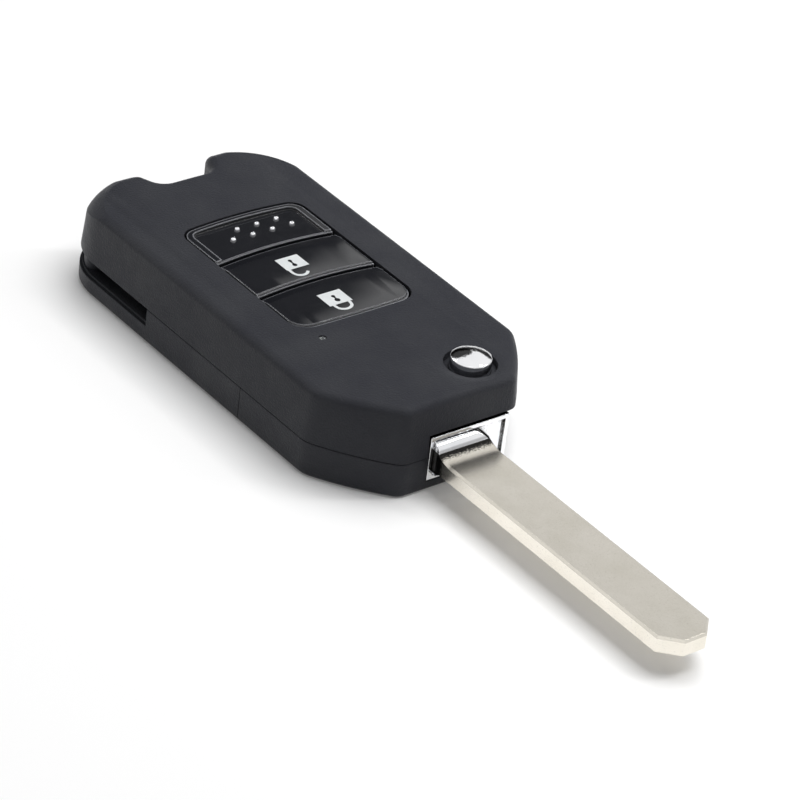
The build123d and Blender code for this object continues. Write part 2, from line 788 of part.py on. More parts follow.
def button_block(plan, x):
    # A button: its cap with a sloped tail edge, a hooked foot at each end and a plunger.
    cap = crowned_block(plan)
    top = cap.faces().sort_by(Axis.Z)[-1]
    cap = chamfer(top.edges().sort_by(Axis.X)[0], button_crest, button_crest_drop, reference=top)
    cap = fillet(cap.faces().sort_by(Axis.Z)[-1].edges(), button_edge_round)
    cap += button_tab(x, -1) + button_tab(x, 1)
    return cap + rod(x, switch_y, plunger_radius, stem_top, segment_bottom + 0.1)


def unlock_x():
    return (panel_divider_one_x + panel_divider_two_x - panel_bulge) / 2


def lock_x():
    return (panel_divider_two_x + panel_nose_x) / 2


def make_unlock_button():
    half_gap = segment_gap / 2
    plan = segment_between(
        panel_divider_one_x + half_gap, panel_divider_two_x - half_gap, panel_bulge, -panel_bulge
    )
    return button_block(plan, unlock_x())


def make_lock_button():
    plan = segment_between(panel_divider_two_x + segment_gap / 2, panel_nose_x + 5, panel_bulge, panel_bulge)
    return button_block(plan, lock_x())


def make_blank_panel():
    # The fixed third segment: a dish with a raised rim and a long slope up to its nose edge.
    nose_edge = panel_divider_one_x - segment_gap / 2
    block = crowned_block(segment_between(panel_tail_x - 5, nose_edge, panel_bulge, -panel_bulge))
    crest_x = nose_edge - button_ledge
    room = segment_plan(panel_tail_x + dish_rim_tail, crest_x, panel_bulge, -panel_bulge)
    room &= Rectangle(4 * panel_width, panel_width - 2 * dish_rim_side)
    room = fillet(room.vertices().sort_by(Axis.X)[:2], panel_tail_radius - dish_rim_tail)
    tilt = degrees(atan2(dish_depth, dish_ridge))
    barrel = Rot(0, 90 - tilt, 0) * Cylinder(crown_radius, case_length)
    sink = crown_radius / cos(radians(tilt))
    slope = Pos(crest_x, 0, case_height - button_sink - sink) * barrel
    block -= slab(room, dish_floor_z, case_height + 2) - slope
    x = (panel_tail_x + panel_divider_one_x) / 2
    return block + button_tab(x, -1) + button_tab(x, 1)


def make_panel_dots():
    # Small domes in two staggered rows on the dish's floor.
    dots = []
    tail_row = (panel_tail_x + dot_tail_row_inset, dot_tail_row_y, dot_tail_row_count)
    nose_row = (panel_tail_x + dot_nose_row_inset, dot_nose_row_y, dot_nose_row_count)
    for x, middle_y, count in (tail_row, nose_row):
        for index in range(count):
            y = middle_y + (index - (count - 1) / 2) * dot_pitch
            dome = Pos(x, y, dish_floor_z) * Sphere(dot_radius)
            dots.append(dome & box_between(x - 1, x + 1, y - 1, y + 1, dish_floor_z, dish_floor_z + 1))
    return Compound(children=dots)


def make_switch(x):
    case = box_between(
        x - switch_size / 2,
        x + switch_size / 2,
        switch_y - switch_size / 2,
        switch_y + switch_size / 2,
        board_top,
        switch_top,
    )
    case = chamfer(case.edges().filter_by(Axis.Z), 0.4)
    return case - rod(x, switch_y, switch_stem_radius + running_clearance, board_top + 0.2, switch_top + 1)


def make_switch_stem(x):
    return rod(x, switch_y, switch_stem_radius, board_top + button_travel + 0.3, stem_top)


def make_circuit_board():
    plan = Pos((board_tail_x + board_nose_x) / 2, (board_left_y + board_right_y) / 2) * RectangleRounded(
        board_nose_x - board_tail_x, board_right_y - board_left_y, board_corner_radius
    )
    corner = make_face(
        Polyline(
            (board_tail_x - 1, board_left_y - 1),
            (board_tail_x + 6, board_left_y - 1),
            (board_tail_x - 1, board_left_y + 4),
            close=True,
        )
    )
    return slab(plan - corner, board_bottom, board_top)


def make_coin_cell():
    # The can with its rounded lower rim, and the smaller lid that stands proud of it.
    top = cell_bottom + cell_height
    can = rod(cell_x, cell_y, cell_radius, cell_bottom, top - cell_lid_height)
    can = fillet(can.edges().group_by(Axis.Z)[0], cell_rim_round)
    return can + rod(cell_x, cell_y, cell_radius - cell_rim_width, cell_bottom + cell_lid_height, top)


def bent_strip(points, width, thickness, x, y):
    # A bent contact strip: points run along its middle line in the X-Z plane.
    line = Polyline(*points)
    band = offset(line, amount=thickness / 2, kind=Kind.INTERSECTION, side=Side.BOTH, closed=True)
    face = make_face(band)
    return Pos(x, y, 0) * extrude(Plane.XZ * face, width / 2, both=True)


def make_negative_clip():
    half = clip_thickness / 2
    cell_top = cell_bottom + cell_height
    points = [
        (-4.0, board_bottom - half),
        (0.0, board_bottom - half),
        (3.5, cell_top + half),
        (4.5, cell_top + half),
    ]
    return bent_strip(points, clip_width, clip_thickness, cell_x - 1.5, cell_y)


def make_positive_clip():
    half = clip_thickness / 2
    leg_x = cell_radius + cell_clearance / 2 + half
    points = [
        (leg_x + 3.0, board_bottom - half),
        (leg_x, board_bottom - half),
        (leg_x, cell_bottom - half),
        (leg_x - 2.6, cell_bottom - half),
    ]
    return bent_strip(points, clip_width, clip_thickness, cell_x, cell_y)


def board_chip(y, size):
    # A flat component under the board, in the row near its tail end.
    length, width, height = size
    bottom = board_bottom - height
    return box_between(parts_x, parts_x + length, y - width / 2, y + width / 2, bottom, board_bottom)


def make_control_chip():
    chip = board_chip(control_chip_y, control_chip_size)
    return chamfer(chip.faces().sort_by(Axis.Z)[0].edges(), 0.2)


def make_crystal_can():
    can = board_chip(crystal_y, crystal_size)
    return fillet(can.edges().filter_by(Axis.Z), 0.4)


def make_antenna_coil():
    # A spool with its axis along Y, under the board.
    half = coil_length / 2
    core_half = coil_core_width / 2
    spool = box_between(-coil_width / 2, coil_width / 2, -half, half, -coil_height, 0)
    waist = half - coil_flange
    winding = box_between(-core_half, core_half, -waist, waist, -coil_height + 0.3, 0)
    spool -= box_between(-coil_width, coil_width, -waist, waist, -coil_height - 1, 1)
    return Pos(coil_x, coil_y, board_bottom) * (spool + winding)


def make_status_led():
    led = box_between(-led_length / 2, led_length / 2, -led_width / 2, led_width / 2, 0, led_height)
    return Pos(led_x, led_y, board_top) * led


def make_light_pipe():
    bottom = board_top + led_height + light_pipe_gap
    pipe = rod(led_x, led_y, led_radius, bottom, case_height + 2) & crown_block(0.15)
    flange_top = crown_z(led_y + 1.2) - ceiling - 0.1
    return pipe + rod(led_x, led_y, led_radius * 2, bottom, flange_top)


def make_transponder_chip():
    chip = chip_block(0.0, floor)
    return fillet(chip.edges().filter_by(Axis.Z), 0.5)


def make_screw(x, y):
    head = rod(x, y, screw_head_radius, screw_head_sink, screw_shank_bottom)
    head = fillet(head.edges().group_by(Axis.Z)[0], screw_edge_break)
    half_long = screw_drive_length / 2
    half_wide = screw_drive_width / 2
    drive_top = screw_head_sink + screw_drive_depth
    drive = box_between(x - half_long, x + half_long, y - half_wide, y + half_wide, 0, drive_top)
    drive += box_between(x - half_wide, x + half_wide, y - half_long, y + half_long, 0, drive_top)
    shank = rod(x, y, screw_radius, screw_shank_bottom - 0.1, screw_shank_bottom + screw_length)
    shank = chamfer(shank.edges().group_by(Axis.Z)[-1], screw_edge_break)
    return head + shank - drive


parts = {
    "upper_shell": make_upper_shell(),
    "battery_cover": make_battery_cover(),
    "hinge_housing": make_hinge_housing(),
    "blade": make_blade(),
    "blade_head": make_blade_head(),
    "blade_roll_pin": make_roll_pin(),
    "release_button": make_release_button(),
    "flip_spring": make_flip_spring(),
    "unlock_button": make_unlock_button(),
    "lock_button": make_lock_button(),
    "blank_panel": make_blank_panel(),
    "panel_dots": make_panel_dots(),
    "circuit_board": make_circuit_board(),
    "unlock_switch": make_switch(unlock_x()),
    "lock_switch": make_switch(lock_x()),
    "unlock_switch_stem": make_switch_stem(unlock_x()),
    "lock_switch_stem": make_switch_stem(lock_x()),
    "coin_cell": make_coin_cell(),
    "negative_clip": make_negative_clip(),
    "positive_clip": make_positive_clip(),
    "control_chip": make_control_chip(),
    "crystal_can": make_crystal_can(),
    "antenna_coil": make_antenna_coil(),
    "status_led": make_status_led(),
    "light_pipe": make_light_pipe(),
    "transponder_chip": make_transponder_chip(),
    "cover_screw": make_screw(cover_screw_x, cover_screw_y),
    "housing_screw": make_screw(housing_screw_x, housing_screw_y),
}

os.makedirs("parts", exist_ok=True)
for name, solid in parts.items():
    export_step(solid, f"parts/{name}.step")
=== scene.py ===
import bpy
import bmesh
import json
import math
import numpy as np
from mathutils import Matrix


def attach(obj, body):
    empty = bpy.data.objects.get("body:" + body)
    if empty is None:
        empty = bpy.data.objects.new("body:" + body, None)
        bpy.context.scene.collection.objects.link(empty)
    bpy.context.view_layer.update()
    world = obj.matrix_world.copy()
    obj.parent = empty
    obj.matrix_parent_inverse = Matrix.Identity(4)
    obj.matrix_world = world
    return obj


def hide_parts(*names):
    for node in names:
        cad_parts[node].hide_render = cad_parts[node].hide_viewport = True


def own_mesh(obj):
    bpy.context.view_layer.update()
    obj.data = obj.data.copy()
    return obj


# Folding car key on a white table. Units are metres. Sizes written in millimetres go through mm().
# Frame: origin at the middle of the case's underside, +X towards the blade's tip, +Z up.

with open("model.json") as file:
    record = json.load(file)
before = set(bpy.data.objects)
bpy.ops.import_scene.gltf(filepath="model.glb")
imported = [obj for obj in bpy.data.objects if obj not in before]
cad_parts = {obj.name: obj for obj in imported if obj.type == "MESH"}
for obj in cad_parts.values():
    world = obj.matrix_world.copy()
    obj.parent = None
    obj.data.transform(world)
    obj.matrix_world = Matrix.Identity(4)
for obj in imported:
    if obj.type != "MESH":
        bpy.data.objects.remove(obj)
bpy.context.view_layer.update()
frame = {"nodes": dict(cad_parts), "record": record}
scene = bpy.context.scene
scene.view_settings.view_transform = "Standard"
print("frame loaded:", len(frame["nodes"]), "nodes")


def mm(value):
    return value * 0.001


def colour(hexCode):
    # sRGB hex to the linear colour that a shader socket takes
    parts = [int(hexCode[i:i + 2], 16) / 255 for i in (1, 3, 5)]
    return [c / 12.92 if c <= 0.04045 else ((c + 0.055) / 1.055) ** 2.4 for c in parts] + [1.0]


def addNode(tree, kind, settings=None, links=None):
    # one node, its settings (properties or socket values), and links into its sockets
    node = tree.nodes.new(kind)
    for key, value in (settings or {}).items():
        if isinstance(key, str) and hasattr(node, key):
            setattr(node, key, value)
        else:
            node.inputs[key].default_value = value
    for key, source in (links or {}).items():
        tree.links.new(source, node.inputs[key])
    return node


def newMaterial(name):
    material = bpy.data.materials.new(name)
    material.use_nodes = True
    material.node_tree.nodes.clear()
    return material, material.node_tree


def finishMaterial(tree, shader):
    addNode(tree, "ShaderNodeOutputMaterial", links={"Surface": shader})


def blendColours(tree, factor, first, second):
    mix = addNode(tree, "ShaderNodeMix", {"data_type": "RGBA", 6: first, 7: second}, {0: factor})
    return mix.outputs[2]


def spread(tree, source, low, high, toLow, toHigh):
    # the source's range from low to high, stretched to another range and held there
    node = addNode(tree, "ShaderNodeMapRange", {1: low, 2: high, 3: toLow, 4: toHigh}, {0: source})
    return node.outputs[0]


def coverTone(tree, clearShare, hexCode, tone):
    # the tone where clearShare is 1, and one plain colour where it is 0
    mix = addNode(tree, "ShaderNodeMix", {"data_type": "RGBA", 6: colour(hexCode)}, {0: clearShare, 7: tone})
    return mix.outputs[2]


cloudMiddle = (0.35, 0.65)  # the part of a slow noise's range that carries its light and dark patches
noiseMiddle = (0.3, 0.7)  # the same for a fine noise
bevelSamples = 6
handWear = {"sizeShare": 0.23, "smoother": 0.04, "rougher": 0.05}  # polished and dulled spots in moulded plastic
cornerShade = {"speckSize": 0.17, "jointOpenness": 0.35, "colour": "#242322"}  # painted shade on bare metal, dark in corners and grooves and broken into specks; size in mm


def mouldedPlastic(look):
    # Injection-moulded plastic. Spark-eroded tool texture gives fine bumps, and handling polishes it in patches.
    material, tree = newMaterial(look["name"])
    place = addNode(tree, "ShaderNodeTexCoord").outputs["Object"]
    grain = addNode(tree, "ShaderNodeTexNoise", {
        "Scale": 1 / mm(look["grainSize"]), "Detail": 3.0, "Roughness": 0.55}, {"Vector": place})
    flow = addNode(tree, "ShaderNodeTexNoise", {
        "Scale": 1 / mm(look["patchSize"]), "Detail": 2.0, "Roughness": 0.5}, {"Vector": place})
    wear = addNode(tree, "ShaderNodeTexNoise", {
        "Scale": 1 / mm(look["patchSize"] * handWear["sizeShare"]), "Detail": 4.0, "Roughness": 0.6}, {
        "Vector": place})
    tone = blendColours(tree, spread(tree, flow.outputs[0], *cloudMiddle, 0.0, 1.0),
                        colour(look["colour"]), colour(look["colourPale"]))
    if "seamShadeReach" in look:  # painted shade: the parting lines and other closed-in places are darkened
        seamShade = addNode(tree, "ShaderNodeAmbientOcclusion", {"samples": 6, "Distance": mm(look["seamShadeReach"])})
        openShare = spread(tree, seamShade.outputs["AO"], *look["seamShadeFade"], 0.0, 1.0)
        tone = coverTone(tree, openShare, look["seamShadeColour"], tone)
    if "glintReach" in look:  # painted highlight: outer edges are paled so that they seem to catch the light; the mask is the shade seen from inside near an outer edge
        glintOcclusion = addNode(tree, "ShaderNodeAmbientOcclusion", {
            "samples": 8, "inside": True, "only_local": True, "Distance": mm(look["glintReach"])})
        flatShare = spread(tree, glintOcclusion.outputs["AO"], *look["glintFade"], 0.0, 1.0)
        tone = coverTone(tree, flatShare, look["glintColour"], tone)
    gloss = spread(tree, wear.outputs[0], *noiseMiddle,
                   look["roughness"] - handWear["smoother"], look["roughness"] + handWear["rougher"])
    edge = addNode(tree, "ShaderNodeBevel", {"samples": bevelSamples, "Radius": mm(look["edgeRound"])})
    bump = addNode(tree, "ShaderNodeBump", {"Strength": 1.0, "Distance": mm(look["grainDepth"])}, {
        "Height": grain.outputs[0], "Normal": edge.outputs[0]})
    shader = addNode(tree, "ShaderNodeBsdfPrincipled", {
        "IOR": look["ior"], "Specular IOR Level": look["specular"],
        "Coat Weight": look.get("coat", 0.0), "Coat Roughness": look.get("coatRoughness", 0.1),
    }, {"Base Color": tone, "Roughness": gloss, "Normal": bump.outputs[0]})
    finishMaterial(tree, shader.outputs[0])
    return material


def platedMetal(look):
    # Bare or plated metal. Lengthwise polishing lines show as stretched noise in the roughness and the bumps.
    material, tree = newMaterial(look["name"])
    place = addNode(tree, "ShaderNodeTexCoord").outputs["Object"]
    along, across, up = look["lineSize"]
    lines = addNode(tree, "ShaderNodeMapping", {
        "Scale": (1 / mm(along), 1 / mm(across), 1 / mm(up))}, {"Vector": place})
    brushing = addNode(tree, "ShaderNodeTexNoise", {
        "Scale": 1.0, "Detail": 3.0, "Roughness": 0.6}, {"Vector": lines.outputs[0]})
    cloud = addNode(tree, "ShaderNodeTexNoise", {
        "Scale": 1 / mm(look["cloudSize"]), "Detail": 3.0, "Roughness": 0.5}, {"Vector": place})
    tone = blendColours(tree, spread(tree, cloud.outputs[0], *cloudMiddle, 0.0, 1.0),
                        colour(look["colour"]), colour(look["colourDeep"]))
    if "cornerShadeReach" in look:  # painted shade: dark in the corners and grooves, thinning out in specks
        corner = addNode(tree, "ShaderNodeAmbientOcclusion", {"samples": 8, "Distance": mm(look["cornerShadeReach"])})
        speckNoise = addNode(tree, "ShaderNodeTexNoise", {"Scale": 1 / mm(cornerShade["speckSize"]), "Detail": 2.0}, {
            "Vector": place})
        specks = spread(tree, speckNoise.outputs[0], *noiseMiddle, -look["cornerShadeSpecks"], look["cornerShadeSpecks"])
        reached = corner.outputs["AO"]
        if "rootAt" in look:  # and over the joint at this x, in millimetres, as far as rootReach
            alongX = addNode(tree, "ShaderNodeSeparateXYZ", links={0: place}).outputs["X"]
            root = spread(tree, alongX, mm(look["rootAt"]), mm(look["rootAt"] + look["rootReach"]),
                          cornerShade["jointOpenness"], 1.0)
            reached = addNode(tree, "ShaderNodeMath", {"operation": "MINIMUM"}, {0: reached, 1: root}).outputs[0]
        openness = addNode(tree, "ShaderNodeMath", {"operation": "ADD"}, {0: reached, 1: specks})
        unshadedShare = spread(tree, openness.outputs[0], *look["cornerShadeFade"], 0.0, 1.0)
        tone = coverTone(tree, unshadedShare, cornerShade["colour"], tone)
    smoother, rougher = look.get("glossSpread", (0.8, 1.25))
    gloss = spread(tree, brushing.outputs[0], *noiseMiddle, look["roughness"] * smoother, look["roughness"] * rougher)
    edge = addNode(tree, "ShaderNodeBevel", {"samples": bevelSamples, "Radius": mm(look["edgeRound"])})
    bump = addNode(tree, "ShaderNodeBump", {"Strength": 1.0, "Distance": mm(look["lineDepth"])}, {
        "Height": brushing.outputs[0], "Normal": edge.outputs[0]})
    shader = addNode(tree, "ShaderNodeBsdfPrincipled", {"Metallic": 1.0}, {
        "Base Color": tone, "Roughness": gloss, "Normal": bump.outputs[0]})
    finishMaterial(tree, shader.outputs[0])
    return material


def laminateBoard(look):
    # Fibreglass circuit board: green solder mask over copper tracks, which show as paler, raised lines.
    material, tree = newMaterial(look["name"])
    place = addNode(tree, "ShaderNodeTexCoord").outputs["Object"]
    padWidth, padHeight = look["padShare"]
    tracks = addNode(tree, "ShaderNodeTexBrick", {
        "offset": 0.35, "squash": 0.6, "squash_frequency": 3, "Scale": 1 / mm(look["trackPitch"]),
        "Mortar Size": look["trackShare"], "Brick Width": padWidth, "Row Height": padHeight}, {"Vector": place})
    weave = addNode(tree, "ShaderNodeTexNoise", {"Scale": 1 / mm(look["weaveSize"]), "Detail": 2.0}, {
        "Vector": place})
    tone = blendColours(tree, tracks.outputs["Fac"], colour(look["colour"]), colour(look["trackColour"]))
    gloss = spread(tree, weave.outputs[0], *noiseMiddle, *look["roughness"])
    bump = addNode(tree, "ShaderNodeBump", {"Strength": 1.0, "Distance": mm(look["trackHeight"])}, {
        "Height": tracks.outputs["Fac"]})
    shader = addNode(tree, "ShaderNodeBsdfPrincipled", {"IOR": look["ior"]}, {
        "Base Color": tone, "Roughness": gloss, "Normal": bump.outputs[0]})
    finishMaterial(tree, shader.outputs[0])
    return material


def clearResin(look):
    # Clear moulded resin, faintly hazy inside
    material, tree = newMaterial(look["name"])
    place = addNode(tree, "ShaderNodeTexCoord").outputs["Object"]
    haze = addNode(tree, "ShaderNodeTexNoise", {"Scale": 1 / mm(look["hazeSize"]), "Detail": 2.0}, {
        "Vector": place})
    gloss = spread(tree, haze.outputs[0], *noiseMiddle, *look["roughness"])
    shader = addNode(tree, "ShaderNodeBsdfPrincipled", {
        "Base Color": colour(look["colour"]), "IOR": look["ior"], "Transmission Weight": look["clearness"]}, {
        "Roughness": gloss})
    finishMaterial(tree, shader.outputs[0])
    return material


mattBlackAbs = mouldedPlastic({  # ABS from a spark-eroded tool: matt, charcoal where the light catches it; painted shade darkens its parting lines
    # the tool's grit is nearer 0.1 mm and is drawn coarser, so that it shows
    "name": "mattBlackAbs", "colour": "#303136", "colourPale": "#36373b", "grainSize": 0.26, "grainDepth": 0.1,
    "patchSize": 9.0, "roughness": 0.48, "ior": 1.5, "specular": 0.12, "edgeRound": 0.16,
    "seamShadeReach": 0.5, "seamShadeFade": (0.3, 0.7), "seamShadeColour": "#121214"})
glossPianoBlack = mouldedPlastic({  # polished acrylic-capped ABS: deep black, clear reflections, and a painted highlight paling its rims
    "name": "glossPianoBlack", "colour": "#1b1c20", "colourPale": "#1e1f23", "grainSize": 1.6, "grainDepth": 0.0006,
    "patchSize": 6.0, "roughness": 0.12, "ior": 1.5, "specular": 0.5, "coat": 0.3, "coatRoughness": 0.03,
    "edgeRound": 0.25, "glintReach": 0.26, "glintFade": (0.7, 0.92), "glintColour": "#808186"})
satinNickelBlade = platedMetal({  # tumbled, nickel-plated steel blank: pale and warm, its grit just showing; painted shade darkens its corners and its root
    "name": "satinNickelBlade", "colour": "#dbd6cc", "colourDeep": "#d5d0c5", "lineSize": (0.3, 0.22, 0.22),
    "lineDepth": 0.0001, "cloudSize": 5.0, "roughness": 0.22, "glossSpread": (0.96, 1.05), "edgeRound": 0.06,
    "cornerShadeReach": 1.3, "cornerShadeSpecks": 0.17, "cornerShadeFade": (0.62, 0.9), "rootAt": 36.75, "rootReach": 1.2})
brightChromeHead = platedMetal({  # bright chrome on die-cast zinc, whose grit breaks up the reflections; painted shade darkens its corners
    "name": "brightChromeHead", "colour": "#e6e7e9", "colourDeep": "#dfe0e3", "lineSize": (0.2, 0.2, 0.2),
    "lineDepth": 0.003, "cloudSize": 3.0, "roughness": 0.08, "edgeRound": 0.2,
    "cornerShadeReach": 1.3, "cornerShadeSpecks": 0.18, "cornerShadeFade": (0.5, 0.82)})
mirrorChromeButton = platedMetal({  # chrome on polished brass, a clear mirror with a slight ripple
    "name": "mirrorChromeButton", "colour": "#f0f0f2", "colourDeep": "#eaeaed", "lineSize": (0.55, 0.55, 0.55),
    "lineDepth": 0.03, "cloudSize": 3.0, "roughness": 0.05, "edgeRound": 0.08})
polishedDots = platedMetal({  # small polished metal domes set in the panel
    "name": "polishedDots", "colour": "#e9e9ec", "colourDeep": "#dcdce0", "lineSize": (0.4, 0.4, 0.4),
    "lineDepth": 0.0003, "cloudSize": 0.6, "roughness": 0.07, "edgeRound": 0.03})
drawnSpringSteel = platedMetal({  # drawn wire, plain
    "name": "drawnSpringSteel", "colour": "#a9abad", "colourDeep": "#94969a", "lineSize": (0.6, 0.6, 0.05),
    "lineDepth": 0.002, "cloudSize": 1.0, "roughness": 0.3, "edgeRound": 0.05})
zincScrewSteel = platedMetal({  # zinc-plated steel
    "name": "zincScrewSteel", "colour": "#9ea1a4", "colourDeep": "#878a90", "lineSize": (0.3, 0.3, 0.3),
    "lineDepth": 0.002, "cloudSize": 0.9, "roughness": 0.34, "edgeRound": 0.06})
tinnedSwitchSteel = platedMetal({  # tinned sheet
    "name": "tinnedSwitchSteel", "colour": "#c3c5c6", "colourDeep": "#b2b4b6", "lineSize": (2.0, 0.1, 0.1),
    "lineDepth": 0.001, "cloudSize": 1.0, "roughness": 0.28, "edgeRound": 0.06})
nickelCellSteel = platedMetal({  # nickel-plated can, circular lines too fine to tell from straight ones
    "name": "nickelCellSteel", "colour": "#c9cacb", "colourDeep": "#bcbdbe", "lineSize": (3.0, 0.08, 0.4),
    "lineDepth": 0.001, "cloudSize": 4.0, "roughness": 0.24, "edgeRound": 0.08})
springBrass = platedMetal({  # plated spring brass
    "name": "springBrass", "colour": "#d2b778", "colourDeep": "#bfa05c", "lineSize": (1.0, 0.08, 0.08),
    "lineDepth": 0.001, "cloudSize": 1.2, "roughness": 0.26, "edgeRound": 0.03})
crystalCanSteel = platedMetal({  # plated can, satin
    "name": "crystalCanSteel", "colour": "#c5c6c8", "colourDeep": "#b5b6b9", "lineSize": (0.1, 1.0, 0.1),
    "lineDepth": 0.001, "cloudSize": 1.0, "roughness": 0.3, "edgeRound": 0.1})
blackNylon = mouldedPlastic({  # moulded nylon: a little softer and waxier than ABS
    "name": "blackNylon", "colour": "#232325", "colourPale": "#2a2a2c", "grainSize": 0.2, "grainDepth": 0.008,
    "patchSize": 2.0, "roughness": 0.45, "ior": 1.53, "specular": 0.5, "edgeRound": 0.05})
epoxyBlack = mouldedPlastic({  # chip resin, finely sandblasted
    "name": "epoxyBlack", "colour": "#1c1c1d", "colourPale": "#232324", "grainSize": 0.08, "grainDepth": 0.01,
    "patchSize": 1.5, "roughness": 0.55, "ior": 1.55, "specular": 0.5, "edgeRound": 0.04})
ferriteGrey = mouldedPlastic({  # sintered ferrite with varnished wire
    "name": "ferriteGrey", "colour": "#3a3836", "colourPale": "#4a4643", "grainSize": 0.14, "grainDepth": 0.02,
    "patchSize": 1.2, "roughness": 0.5, "ior": 1.6, "specular": 0.5, "edgeRound": 0.05})
transponderBlack = mouldedPlastic({  # small moulded block
    "name": "transponderBlack", "colour": "#222223", "colourPale": "#292a2b", "grainSize": 0.12, "grainDepth": 0.01,
    "patchSize": 2.5, "roughness": 0.5, "ior": 1.5, "specular": 0.5, "edgeRound": 0.06})
greenLaminate = laminateBoard({  # tracks and pads as shares of the pitch between them
    "name": "greenLaminate", "colour": "#0f3d24", "trackColour": "#185a34", "trackPitch": 1.1, "trackShare": 0.08,
    "padShare": (2.6, 0.7), "trackHeight": 0.03, "weaveSize": 0.4, "roughness": (0.22, 0.34), "ior": 1.55})
clearPipe = clearResin({  # clear acrylic
    "name": "clearPipe", "colour": "#d9dde0", "hazeSize": 0.5, "roughness": (0.08, 0.23), "clearness": 0.85,
    "ior": 1.49})
milkyLed = clearResin({  # epoxy with a white filler
    "name": "milkyLed", "colour": "#e9e6d2", "hazeSize": 0.5, "roughness": (0.2, 0.35), "clearness": 0.35,
    "ior": 1.49})
whitePadPrint = mouldedPlastic({  # pad-printed ink: slightly rough, off-white
    "name": "whitePadPrint", "colour": "#d6dadb", "colourPale": "#dde0e1", "grainSize": 0.12, "grainDepth": 0.002,
    "patchSize": 1.5, "roughness": 0.35, "ior": 1.5, "specular": 0.4, "edgeRound": 0.02})

nodeFinish = {
    "upper_shell": mattBlackAbs, "battery_cover": mattBlackAbs, "hinge_housing": mattBlackAbs,
    "blade": satinNickelBlade, "blade_head": brightChromeHead, "blade_roll_pin": zincScrewSteel,
    "release_button": mirrorChromeButton, "flip_spring": drawnSpringSteel, "unlock_button": glossPianoBlack,
    "lock_button": glossPianoBlack, "blank_panel": glossPianoBlack, "panel_dots": polishedDots,
    "circuit_board": greenLaminate, "unlock_switch": tinnedSwitchSteel, "lock_switch": tinnedSwitchSteel,
    "unlock_switch_stem": blackNylon, "lock_switch_stem": blackNylon, "coin_cell": nickelCellSteel,
    "negative_clip": springBrass, "positive_clip": springBrass, "control_chip": epoxyBlack,
    "crystal_can": crystalCanSteel, "antenna_coil": ferriteGrey, "status_led": milkyLed, "light_pipe": clearPipe,
    "transponder_chip": transponderBlack, "cover_screw": zincScrewSteel, "housing_screw": zincScrewSteel,
}
for name, material in nodeFinish.items():
    data = frame["nodes"][name].data
    data.materials.clear()
    data.materials.append(material)
print("materials made:", len(bpy.data.materials))


mergeDistance = 1e-7  # metres


def smoothCopy(node, name, creaseAngle):
    # the node's own surface, its doubles merged, shaded smooth up to the crease angle
    mesh = frame["nodes"][node].data.copy()
    mesh.name = name
    work = bmesh.new()
    work.from_mesh(mesh)
    bmesh.ops.remove_doubles(work, verts=work.verts, dist=mergeDistance)
    work.to_mesh(mesh)
    work.free()
    if "custom_normal" in mesh.attributes:
        mesh.attributes.remove(mesh.attributes["custom_normal"])
    mesh.shade_smooth()
    mesh.set_sharp_from_angle(angle=math.radians(creaseAngle))
    piece = bpy.data.objects.new(name, mesh)
    scene.collection.objects.link(piece)
    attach(piece, bodyOfNode[node])
    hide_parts(node)
    return piece


bodyOfNode = {n: body for body, members in frame["record"]["behaviour"]["bodies"].items() for n in members}
smoothNodes = {  # each node's copy: its name, and the angle in degrees from which an edge stays sharp
    "upper_shell": ("caseTop", 24), "battery_cover": ("caseCover", 24), "hinge_housing": ("caseNose", 24),
    "blade": ("bladeBar", 24), "blade_head": ("bladeHead", 24), "release_button": ("releaseDome", 24),
    "unlock_button": ("unlockCap", 9), "lock_button": ("lockCap", 9), "blank_panel": ("blankDish", 9),
    "panel_dots": ("dishDots", 40), "flip_spring": ("barrelSpring", 60),
}
copies = {node: smoothCopy(node, *nameAndAngle) for node, nameAndAngle in smoothNodes.items()}
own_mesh(copies["flip_spring"])
print("smooth copies made:", len(copies))


capTop = {"crownRadius": 219.1, "height": 13.5}  # the caps' top, a barrel along X


def capHeight(y):
    # The caps' top at y, in millimetres, is an arc of the crown's radius R: z = height - R + sqrt(R^2 - y^2).
    radius = capTop["crownRadius"]
    return capTop["height"] - radius + np.sqrt(radius ** 2 - y ** 2)


def ringLayer(inner, outer, lift, sink):
    # Closed layer between two loops of points: inner top, outer top, outer foot, inner foot, joined all round.
    rows = []
    for loop, offset in ((inner, lift), (outer, lift), (outer, -sink), (inner, -sink)):
        rows.append(np.column_stack([loop, capHeight(loop[:, 1]) + offset]))
    return np.array(rows)


def gridMesh(name, rows, closedAcross=True):
    # Rows of points joined into quads, each row closed on itself. closedAcross joins the last row to the first.
    countRow, countPoint = rows.shape[:2]
    index = np.arange(countRow * countPoint).reshape(countRow, countPoint)
    nextPoint = np.roll(index, -1, axis=1)
    if closedAcross:
        first, second = index, np.roll(index, -1, axis=0)
        firstNext, secondNext = nextPoint, np.roll(nextPoint, -1, axis=0)
    else:
        first, second, firstNext, secondNext = index[:-1], index[1:], nextPoint[:-1], nextPoint[1:]
    faces = np.stack([first, firstNext, secondNext, second], axis=-1).reshape(-1, 4)
    mesh = bpy.data.meshes.new(name)
    mesh.from_pydata(mm(rows.reshape(-1, 3)).tolist(), [], faces.tolist())
    return mesh


def addPiece(name, mesh, material, body):
    mesh.materials.append(material)
    work = bmesh.new()
    work.from_mesh(mesh)
    bmesh.ops.recalc_face_normals(work, faces=work.faces)
    work.to_mesh(mesh)
    work.free()
    piece = bpy.data.objects.new(name, mesh)
    scene.collection.objects.link(piece)
    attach(piece, body)
    return piece


tiny = 1e-6  # stands in for a sine or cosine of nought in a division


